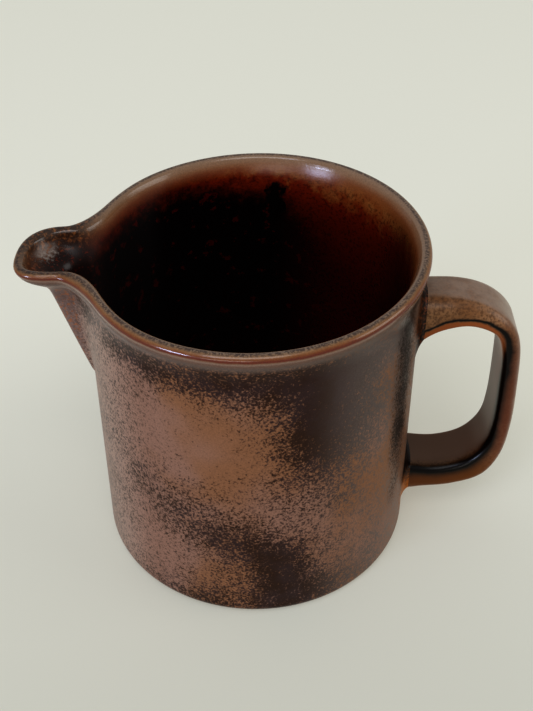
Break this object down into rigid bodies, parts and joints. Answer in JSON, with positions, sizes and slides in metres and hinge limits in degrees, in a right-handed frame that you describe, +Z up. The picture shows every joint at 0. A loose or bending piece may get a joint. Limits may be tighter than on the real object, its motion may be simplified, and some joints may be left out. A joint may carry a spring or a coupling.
{
  "type": "pouring jug",
  "caption": "Straight-sided glazed stoneware pouring jug with a flared round lip, a luted beak spout and a strap handle.",
  "frame": {"origin": "middle of the whole jug's footprint, on the surface it stands on", "axes": "+Z up; +X towards the handle, so the beak points along -X; the body's own axis is vertical at x = -5.9 mm"},
  "size_m": [0.1404, 0.096, 0.1007],
  "materials": {
    "body_glaze": "satin iron glaze, speckled brown over dark purple-brown, glossy near-black inside",
    "spout_glaze": "satin iron glaze, mottled grey-brown, glossy red-brown in the channel",
    "handle_glaze": "smooth satin brown glaze, breaking amber along its edges",
    "joint_glaze": "glossy amber glaze pooled over the slip fillet"
  },
  "bodies": {
    "root": {"jug_body": "body_glaze", "pouring_spout": "spout_glaze", "handle": "handle_glaze", "upper_handle_joint": "joint_glaze", "lower_handle_joint": "joint_glaze"}
  },
  "joints": []
}
